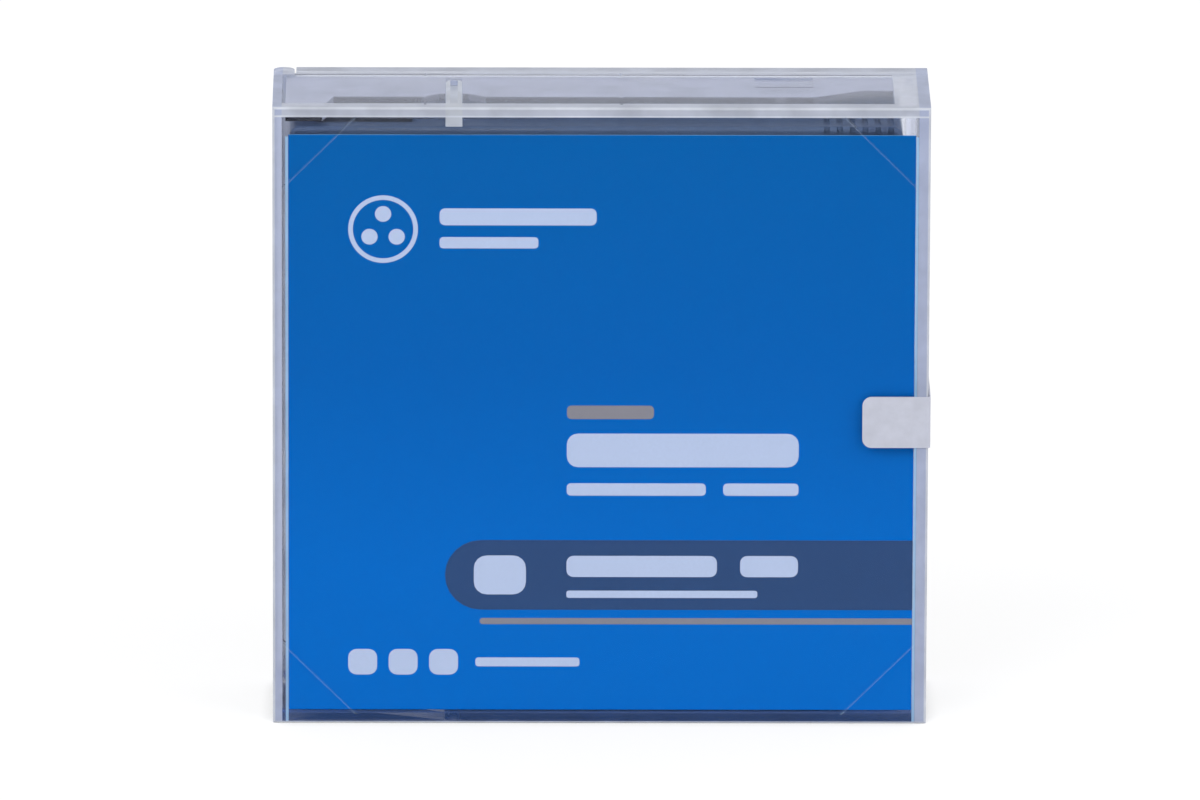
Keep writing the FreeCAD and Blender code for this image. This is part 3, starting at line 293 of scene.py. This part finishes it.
class Zones:
    """Places on the case, each a number from 0 to 1, worked out from distances to its sides."""

    def __init__(self, finish):
        self.finish = finish
        low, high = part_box("case_lid")
        card_low, card_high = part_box("insert_card")
        x, y, z = finish.parts(finish.place)
        self.from_hinge_side = finish.math("SUBTRACT", x, low.x)
        self.from_opening = finish.math("SUBTRACT", high.x, x)
        self.from_top = finish.math("SUBTRACT", high.z, z)
        self.from_bottom = finish.math("SUBTRACT", z, low.z)
        self.from_front = finish.math("SUBTRACT", y, low.y)
        self.from_back = finish.math("SUBTRACT", high.y, y)
        half = CARD_LINE / 2
        left = self.about(x, card_low.x - half, half)
        right = self.about(x, card_high.x + half, half)
        self.beside_card = self.both(self.either(left, right), self.within(z, card_high.z))
        self.from_clip = finish.math("ABSOLUTE", finish.math("SUBTRACT", x, low.x + CLIP_PLACE))

    def sum(self, first, second):
        return self.finish.math("ADD", first, second)

    def both(self, first, second):
        return self.finish.math("MULTIPLY", first, second)

    def either(self, first, second):
        return self.finish.math("MAXIMUM", first, second)

    def within(self, distance, limit, soft=SOFT):
        """1 where a distance is under its limit, otherwise 0."""
        return self.finish.ranged(distance, limit + soft, limit - soft)

    def about(self, distance, middle, half):
        """1 where a distance is within a half width of a middle value."""
        return self.within(self.finish.math("ABSOLUTE", self.sum(distance, -middle)), half)

    def side(self):
        """The two upright side walls."""
        hinge_side = self.within(self.from_hinge_side, WALL)
        return self.either(hinge_side, self.within(self.from_opening, OPENING_WALL))

    def thick(self):
        """Where two walls meet, so that the plastic is solid for a long way behind its face. The
        bottom wall is not counted, so this mist is partly painted light from above.
        """
        top = self.within(self.from_top, WALL)
        back = self.within(self.from_back, BACK_CORNER)
        ends = self.either(self.within(self.from_front, FRONT_CORNER), back)
        walls = self.sum(self.sum(self.side(), top), ends)
        hinge = self.both(self.within(self.from_hinge_side, HINGE), back)
        past_tray = self.both(self.within(self.from_opening, OPENING_END), top)
        return self.either(self.sum(walls, -1.0), self.either(hinge, past_tray))

    def clip(self):
        """The clip that hangs from the top wall."""
        height = self.within(self.from_top, CLIP_HEIGHT)
        near = self.both(self.within(self.from_clip, CLIP_HALF), height)
        return self.both(near, self.within(self.from_front, CLIP_BACK))

    def inner_edge(self):
        """The line where the top wall meets the front plate's inner face, which gets a painted
        highlight.
        """
        line = self.about(self.from_top, WALL, EDGE_LINE)
        return self.both(line, self.within(self.from_front, FRONT_CORNER))

    def card_edge(self):
        """The lines in the front plate beside the card, painted pale as if light gathered in the
        plastic.
        """
        return self.both(self.beside_card, self.within(self.from_front, WALL))

    def groove(self):
        """The floor of the fine grooves in the front face."""
        outer = self.within(self.from_front, GROOVE_TOP, GROOVE_TOP_SOFT)
        return self.finish.math("SUBTRACT", self.within(self.from_front, GROOVE_FLOOR), outer)

    def foot(self):
        """The bottom wall and the lowest strip of the others, which get a painted dark blue shade.
        """
        return self.within(self.from_bottom, FOOT)

    def bright(self, tilts):
        """The front plate's small bevels and its inner edge, which get a painted highlight."""
        squarest = self.either(self.either(tilts[0], tilts[1]), tilts[2])
        bevel = self.within(squarest, BEVEL_SQUARE, BEVEL_SOFT)
        return self.either(self.both(bevel, self.within(self.from_front, WALL)), self.inner_edge())


def mist_colour(finish, zones, colour, bright):
    """The mist's colour, with others where the plastic is thick, a painted dark blue shade at the
    foot, and painted highlights on the bevels, the inner edge, the groove floors and the lines
    beside the card.
    """
    lines = zones.either(zones.card_edge(), zones.groove())
    colour = finish.blended(zones.thick(), colour, EDGE_MIST)
    # Painted shade at the foot.
    colour = finish.blended(zones.foot(), colour, PAINTED_SHADE_MIST)
    colour = finish.blended(zones.side(), colour, SIDE_MIST)
    # Painted light lines beside the card and on the groove floors.
    colour = finish.blended(lines, colour, PAINTED_LINE_LIGHT)
    colour = finish.blended(zones.clip(), colour, CLIP_MIST)
    # Painted highlight on the bevels and the inner edge.
    return finish.blended(bright, colour, PAINTED_HIGHLIGHT)


def mist_share(finish, zones, haze, plate, bright):
    """How misty the plastic is at a place, from 0 to 1. plate is 1 on the polished plates."""
    plate_haze = finish.scaled(zones.groove(), PLATE_HAZE, LINE_HAZE)
    share = finish.blend(plate, haze, plate_haze)
    # More mist at the foot, for the painted shade.
    share = finish.blend(zones.foot(), share, LOW_HAZE)
    # The clip, and the painted highlights and light lines, get the thick plastic's mist.
    clip_and_painted_highlights = zones.either(zones.either(zones.clip(), zones.card_edge()), bright)
    share = finish.blend(zones.either(zones.thick(), clip_and_painted_highlights), share, EDGE_HAZE)
    inside = finish.node("ShaderNodeNewGeometry").outputs["Backfacing"]
    share = zones.both(share, finish.scaled(inside, 1.0, INSIDE_SHARE))
    return zones.both(share, finish.between(finish.noise(CLOUD_GRAIN), CLOUD_LOW, CLOUD_HIGH))


def clear_plastic(name, mist_base, haze):
    """Clear moulded plastic, with a lavender tinge that deepens with the way through it. The
    front and back plates are polished. The other faces are misty, and more so where the plastic
    is thick; that mist is kept off the bottom wall, partly painted light from above. A dark blue
    mist at the foot is painted shade, and paler mist on the bevels, the inner edge, the groove
    floors and the lines beside the card is painted highlight. Lamps shine through."""
    finish = Finish(name)
    finish.tree.nodes.remove(finish.shader)
    zones = Zones(finish)
    flow = finish.noise(FLOW_GRAIN, 2.0, finish.stretched(1, 1, FLOW_STRETCH))
    waves = {"Height": flow, "Distance": FLOW_DEPTH, "Strength": FLOW_STRENGTH}
    skin = finish.node("ShaderNodeBump", waves).outputs["Normal"]
    tilts = [finish.math("ABSOLUTE", tilt) for tilt in finish.parts(finish.facing)]
    bright = zones.bright(tilts)
    plate = finish.ranged(tilts[1], PLATE_START, PLATE_END)
    colour = mist_colour(finish, zones, mist_base, bright)
    front_lit = finish.node("ShaderNodeBsdfDiffuse", {"Color": colour})
    back_lit = finish.node("ShaderNodeBsdfTranslucent", {"Color": colour})
    mist = finish.mixed(BACK_LIT, front_lit, back_lit)
    glass = {"Color": TINT, "IOR": PLASTIC_IOR, "Roughness": CLEAR_ROUGHNESS, "Normal": skin}
    through = finish.node("ShaderNodeBsdfRefraction", glass)
    hazy = finish.mixed(mist_share(finish, zones, haze, plate, bright), through, mist)
    polish = {"Roughness": GLOSS_ROUGHNESS, "Normal": skin}
    gloss = finish.node("ShaderNodeBsdfAnisotropic", polish)
    sheen = finish.node("ShaderNodeFresnel", {"IOR": GLOSS_IOR}).outputs[0]
    sheen = zones.both(sheen, finish.scaled(plate, GLOSS, PLATE_GLOSS))
    clear = finish.mixed(sheen, hazy, gloss)
    open_air = finish.node("ShaderNodeBsdfTransparent", {"Color": TINT})
    lamp_ray = finish.node("ShaderNodeLightPath").outputs["Is Shadow Ray"]
    whole = finish.mixed(lamp_ray, clear, open_air)
    finish.feed(finish.output.inputs["Surface"], whole.outputs[0])
    tinge = {"Color": DEPTH_TINT, "Density": DEPTH_DENSITY}
    depth = finish.node("ShaderNodeVolumeAbsorption", tinge)
    finish.feed(finish.output.inputs["Volume"], depth.outputs[0])
    return finish.material


def printed_card():
    """Satin card with the paper's fine tooth. Its front is blue, darker towards the top, its
    back is plain paper and its edges are a paler blue, painted light as if lit through."""
    finish = Finish("printed_card", Roughness=0.5, Specular_IOR_Level=0.03)
    low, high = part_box("insert_card")
    level = finish.ranged(finish.parts(finish.place)["Z"], low.z, high.z)
    face = finish.ramp(
        level,
        (0.0, CARD_BOTTOM),
        (BLUE_BOTTOM_END, CARD_BOTTOM),
        (BLUE_MIDDLE, CARD_MIDDLE),
        (1.0, CARD_TOP),
    )
    forward = finish.math("MULTIPLY", finish.parts(finish.facing)["Y"], -1.0)
    printed_side = finish.ranged(forward, FACE_START, FACE_END)
    plain_side = finish.ranged(forward, -FACE_START, -FACE_END)
    other_sides = finish.blended(plain_side, CARD_EDGE_PAINTED_LIGHT, PAPER)
    finish.colour(finish.blended(printed_side, other_sides, face))
    finish.relief(finish.noise(TOOTH_GRAIN * MM, TOOTH_DETAIL), TOOTH_DEPTH * MM)
    return finish.material


def ink(name, base):
    """Printing ink on the card."""
    finish = Finish(name, Specular_IOR_Level=0.1)
    finish.skin(
        base, uneven=0.05, patches=0.5, specks=0.3, rough=(0.4, 0.5),
        bumps=TOOTH_GRAIN, depth=TOOTH_DEPTH, detail=TOOTH_DETAIL,
    )
    return finish.material


def seal_paper():
    """Coated label paper, a little cockled and worn. Some light comes through it."""
    finish = Finish("seal_paper", Specular_IOR_Level=0.3)
    finish.skin(
        SEAL, uneven=0.10, patches=2.2, specks=0.6, rough=(0.45, 0.65),
        bumps=2.0, depth=0.12, detail=5.0, strength=0.6,
    )
    glow = finish.node("ShaderNodeBsdfTranslucent", {"Color": SEAL})
    paper = finish.mixed(SEAL_BACK_LIT, finish.shader, glow)
    finish.feed(finish.output.inputs["Surface"], paper.outputs[0])
    return finish.material


def film():
    """Wound tape: dark satin film."""
    finish = Finish("tape_film", Specular_IOR_Level=0.5)
    finish.skin(
        FILM, uneven=0.25, patches=3.0, specks=1.2, rough=(0.22, 0.34), bumps=0.4, depth=0.006
    )
    return finish.material


def steel():
    """Plain drawn steel with fine lines."""
    finish = Finish("steel", Metallic=1.0)
    lines = finish.noise(STEEL_GRAIN, 3.0, finish.stretched(1, STEEL_STRETCH, 1))
    finish.colour(finish.ramp(lines, (NOISE_LOW, STEEL_LINES), (NOISE_HIGH, STEEL)))
    finish.rough(finish.between(lines, STEEL_SMOOTH, STEEL_ROUGH))
    finish.relief(lines, STEEL_DEPTH)
    return finish.material


def moulded(name, base, rough, bumps, depth):
    """Opaque moulded plastic with a spark-textured skin."""
    finish = Finish(name)
    finish.skin(base, uneven=0.12, patches=6.0, specks=2.0, rough=rough, bumps=bumps, depth=depth)
    return finish.material


# Each moulding's colour, range of roughness, and the grain and depth of its skin in millimetres.
MOULDINGS = {
    "shell_plastic": (NAVY, (0.45, 0.55), 0.25, 0.02),
    "reel_plastic": (REEL_GREY, (0.37, 0.47), 0.4, 0.006),
    "brake_plastic": (NATURAL, (0.35, 0.45), 0.5, 0.005),
    "door_plastic": (DOOR_GREY, (0.40, 0.50), 0.3, 0.012),
    "tab_plastic": (TAB_RED, (0.25, 0.35), 0.5, 0.004),
    "board": (BOARD_GREEN, (0.30, 0.40), 0.3, 0.004),
}


def make_finishes():
    """One material for each slot in the record."""
    finishes = {name: moulded(name, *look) for name, look in MOULDINGS.items()}
    finishes["clear_plastic"] = clear_plastic("clear_plastic", LID_MIST, LID_HAZE)
    finishes["printed_card"] = printed_card()
    finishes["seal_paper"] = seal_paper()
    finishes["tape_film"] = film()
    finishes["steel"] = steel()
    return finishes


def dress_nodes():
    """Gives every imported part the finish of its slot, and the case's inner half its own."""
    materials = make_finishes()
    for part in frame["record"]["subparts"]:
        node = frame["nodes"][part["node"]]
        node.data.materials.clear()
        node.data.materials.append(materials[part["material_slot"]])
    inner = frame["nodes"]["case_base"]
    inner.data.materials[0] = clear_plastic("clear_plastic_inner", BASE_MIST, BASE_HAZE)


def add_springs():
    """Coil springs, copied and attached to the case in place of the rigid ones."""
    for joint in frame["record"]["behaviour"]["joints"]:
        for spring in joint.get("deforming_nodes", ()):
            letter = spring["mode"][-1]
            along = "xyz".index(letter)
            axis, anchor = Vector(), Vector()
            axis[along] = 1.0
            anchor[along] = spring[f"fixed_end_{letter}_m"]
            mesh = frame["nodes"][spring["node"]].data.copy()
            coil = bpy.data.objects.new(spring["node"] + "_coil", mesh)
            bpy.context.scene.collection.objects.link(coil)
            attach(coil, "case")
            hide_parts(spring["node"])
            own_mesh(coil)


# ---------------------------------------------------------------- the print on the card

CARD_LOW, CARD_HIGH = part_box("insert_card")
INK_THICK = 0.03 * MM

# Places and sizes of the print, in millimetres from the card's lower left corner.
PANEL_LEFT = 27.0
PANEL_LOW = 18.0
PANEL_HIGH = 30.5
RULE_LEFT = 33.0
RULE_LOW = 15.4
RULE_HIGH = 16.5
REEL_X = 16.3
REEL_Z = 86.0
REEL_OUTER = 6.0
REEL_INNER = 5.2
HOLE_CIRCLE = 2.7
HOLE_RADIUS = 1.4

# Bars of ink, each by its left end, the height of its middle, its width and its own height.
TAN_BARS = [(48.0, 53.4, 15.0, 2.4)]
WHITE_BARS = [
    (26.0, 88.2, 27.0, 3.0),
    (26.0, 83.6, 17.0, 2.0),
    (48.0, 46.6, 40.0, 6.0),
    (48.0, 39.6, 24.0, 2.2),
    (75.0, 39.6, 13.0, 2.2),
    (48.0, 25.8, 26.0, 3.8),
    (78.0, 25.8, 10.0, 3.8),
    (48.0, 20.8, 33.0, 1.3),
    (32.0, 24.25, 9.0, 7.0),
    (10.3, 8.6, 5.0, 4.6),
    (17.3, 8.6, 5.0, 4.6),
    (24.3, 8.6, 5.0, 4.6),
    (32.3, 8.6, 18.0, 1.6),
]
BAR_ROUNDING = 0.32
CORNER_STEPS = 4
BAND_STEPS = 12
DISC_STEPS = 48
HOLE_STEPS = 24


def bar(left, middle, width, height):
    """A bar with rounded corners, as one loop of (x, z) points."""
    radius = height * BAR_ROUNDING
    right, top = width - radius, height - radius
    loop = []
    for turn, (x, z) in enumerate(((right, top), (radius, top), (radius, radius), (right, radius))):
        for step in range(CORNER_STEPS + 1):
            angle = math.radians(90 * (turn + step / CORNER_STEPS))
            across, up = x + radius * math.cos(angle), z + radius * math.sin(angle)
            loop.append((left + across, middle - height / 2 + up))
    return [loop]


def band(left, low, high):
    """A band that runs off the card's right edge and has a half-round left end."""
    right = (CARD_HIGH.x - CARD_LOW.x) / MM
    radius = (high - low) / 2
    angles = [math.pi * (0.5 + step / BAND_STEPS) for step in range(BAND_STEPS + 1)]
    x, z = left + radius, low + radius
    end = [(x + radius * math.cos(angle), z + radius * math.sin(angle)) for angle in angles]
    return [[(right, high), *end, (right, low)]]


def disc(x, z, radius, steps=DISC_STEPS):
    angles = [2 * math.pi * step / steps for step in range(steps)]
    return [(x + radius * math.cos(angle), z + radius * math.sin(angle)) for angle in angles]


def reel(x, z):
    """A ring with three round holes about its middle, like a reel's face."""
    shapes = [[disc(x, z, REEL_OUTER), disc(x, z, REEL_INNER)]]
    for number in range(3):
        angle = math.radians(90 + 120 * number)
        across, up = HOLE_CIRCLE * math.cos(angle), HOLE_CIRCLE * math.sin(angle)
        shapes.append([disc(x + across, z + up, HOLE_RADIUS, HOLE_STEPS)])
    return shapes


def on_card(x, level, z):
    """A place in the frame, from millimetres on the card and a level in front of it."""
    return CARD_LOW.x + x * MM, level, CARD_LOW.z + z * MM


def walls(builder, inner, outer):
    """Faces that join two loops of vertices point by point, all the way round."""
    for number in range(len(inner)):
        after = (number + 1) % len(inner)
        builder.faces.new((inner[number], inner[after], outer[after], outer[number]))


def printed(name, material, shapes, thick):
    """One piece of ink: flat shapes raised a little from the card's face. Each shape is one
    loop, or two for a ring."""
    mesh = bpy.data.meshes.new(name)
    builder = bmesh.new()
    for loops in shapes:
        rows = []
        for level in (CARD_LOW.y, CARD_LOW.y - thick):
            row = []
            for loop in loops:
                row.append([builder.verts.new(on_card(x, level, z)) for x, z in loop])
            rows.append(row)
        for back, face in zip(*rows):
            walls(builder, back, face)
        for row in rows:
            if len(row) == 1:
                builder.faces.new(row[0])
            else:
                walls(builder, *row)
    bmesh.ops.recalc_face_normals(builder, faces=builder.faces)
    builder.to_mesh(mesh)
    builder.free()
    piece = bpy.data.objects.new(name, mesh)
    bpy.context.scene.collection.objects.link(piece)
    mesh.materials.append(material)
    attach(piece, "lid")


def add_print():
    """Plain bands, bars and a ring in slate, tan and white. They spell nothing."""
    panel = [band(PANEL_LEFT, PANEL_LOW, PANEL_HIGH)]
    tan = [band(RULE_LEFT, RULE_LOW, RULE_HIGH)] + [bar(*place) for place in TAN_BARS]
    white = reel(REEL_X, REEL_Z) + [bar(*place) for place in WHITE_BARS]
    printed("print_panel", ink("slate_ink", PRINT_SLATE), panel, INK_THICK)
    printed("print_tan", ink("tan_ink", PRINT_TAN), tan, INK_THICK)
    printed("print_white", ink("white_ink", PRINT_WHITE), white, 2 * INK_THICK)


# ---------------------------------------------------------------- stage, light and camera

FLOOR_REACH = 8.0
FLOOR_GLOW = 0.78
SKY = 0.62
KEY_PLACE = (-0.9, -1.2, 1.5)
KEY_SIZE = 1.2
KEY_POWER = 12.0
FILL_PLACE = (1.3, -0.8, 0.9)
FILL_SIZE = 1.0
FILL_POWER = 7.0
SHADE_REACH = 5 * MM
SHADE_SAMPLES = 4
SHADE_START = 0.08
SHADE_END = 0.45
CAMERA_DISTANCE = 3.0
CAMERA_AZIMUTH = -0.5
CAMERA_ELEVATION = 15.36
CAMERA_ROLL = 0.22
CAMERA_LENS = 520.0
SENSOR_WIDTH = 36.0
AIM = Vector((0.0, 0.0, 0.0542))


def seen_ray(tree):
    """1 for a ray from the camera, from a mirror or through glass, otherwise 0."""
    path = tree.nodes.new("ShaderNodeLightPath")
    total = None
    for kind in ("Is Camera Ray", "Is Glossy Ray", "Is Transmission Ray"):
        if total is None:
            total = path.outputs[kind]
            continue
        larger = tree.nodes.new("ShaderNodeMath")
        larger.operation = "MAXIMUM"
        tree.links.new(total, larger.inputs[0])
        tree.links.new(path.outputs[kind], larger.inputs[1])
        total = larger.outputs[0]
    return total


def add_world():
    """Soft light from all round, behind a plain white backdrop."""
    world = bpy.data.worlds.new("studio")
    bpy.context.scene.world = world
    world.use_nodes = True
    tree = world.node_tree
    light = tree.nodes["Background"]
    light.inputs["Color"].default_value = SKY_COLOUR
    light.inputs["Strength"].default_value = SKY
    backdrop = tree.nodes.new("ShaderNodeBackground")
    backdrop.inputs["Color"].default_value = BACKDROP
    mix = tree.nodes.new("ShaderNodeMixShader")
    tree.links.new(seen_ray(tree), mix.inputs[0])
    tree.links.new(light.outputs[0], mix.inputs[1])
    tree.links.new(backdrop.outputs[0], mix.inputs[2])
    tree.links.new(mix.outputs[0], tree.nodes["World Output"].inputs["Surface"])


def add_floor():
    """A plain floor that looks white and keeps the object's shadow. Its glow fades where the
    object is close over it, a painted contact shadow."""
    mesh = bpy.data.meshes.new("floor")
    side = FLOOR_REACH / 2
    corners = [(-side, -side, 0), (side, -side, 0), (side, side, 0), (-side, side, 0)]
    mesh.from_pydata(corners, [], [(0, 1, 2, 3)])
    floor = bpy.data.objects.new("floor", mesh)
    bpy.context.scene.collection.objects.link(floor)
    finish = Finish("floor", Roughness=0.9, Specular_IOR_Level=0.0, Base_Color=FLOOR)
    pale = finish.node("ShaderNodeBsdfDiffuse", {"Color": FLOOR_SEEN})
    reach = {"Distance": SHADE_REACH}
    # Painted contact shadow: the glow fades with the occlusion close to the object.
    shade = finish.node("ShaderNodeAmbientOcclusion", reach, samples=SHADE_SAMPLES)
    strength = finish.ranged(shade.outputs["AO"], SHADE_START, SHADE_END, 0.0, FLOOR_GLOW)
    glow = finish.node("ShaderNodeEmission", {"Strength": strength})
    bright = finish.node("ShaderNodeAddShader", {0: pale.outputs[0], 1: glow.outputs[0]})
    seen = seen_ray(finish.tree)
    whole = finish.mixed(seen, finish.shader, bright)
    finish.feed(finish.output.inputs["Surface"], whole.outputs[0])
    mesh.materials.append(finish.material)


def aim(item, target):
    """Turns a lamp or the camera to face a place."""
    direction = target - item.location
    item.rotation_euler = direction.to_track_quat("-Z", "Y").to_euler()


def add_lamp(name, spot, size, power):
    """A round soft lamp that faces the object."""
    lamp = bpy.data.lights.new(name, "AREA")
    lamp.shape = "DISK"
    lamp.size = size
    lamp.energy = power
    item = bpy.data.objects.new(name, lamp)
    bpy.context.scene.collection.objects.link(item)
    item.location = spot
    aim(item, AIM)


def add_camera():
    data = bpy.data.cameras.new("camera")
    data.lens = CAMERA_LENS
    data.sensor_width = SENSOR_WIDTH
    camera = bpy.data.objects.new("camera", data)
    bpy.context.scene.collection.objects.link(camera)
    azimuth, elevation = math.radians(CAMERA_AZIMUTH), math.radians(CAMERA_ELEVATION)
    back = Vector((
        math.sin(azimuth) * math.cos(elevation),
        -math.cos(azimuth) * math.cos(elevation),
        math.sin(elevation),
    ))
    camera.location = AIM + back * CAMERA_DISTANCE
    aim(camera, AIM)
    camera.rotation_euler.rotate_axis("Z", math.radians(CAMERA_ROLL))
    bpy.context.scene.camera = camera


def main():
    dress_nodes()
    add_springs()
    add_print()
    add_world()
    add_floor()
    add_lamp("key", KEY_PLACE, KEY_SIZE, KEY_POWER)
    add_lamp("fill", FILL_PLACE, FILL_SIZE, FILL_POWER)
    add_camera()
    bpy.context.scene.view_settings.view_transform = "Standard"


main()
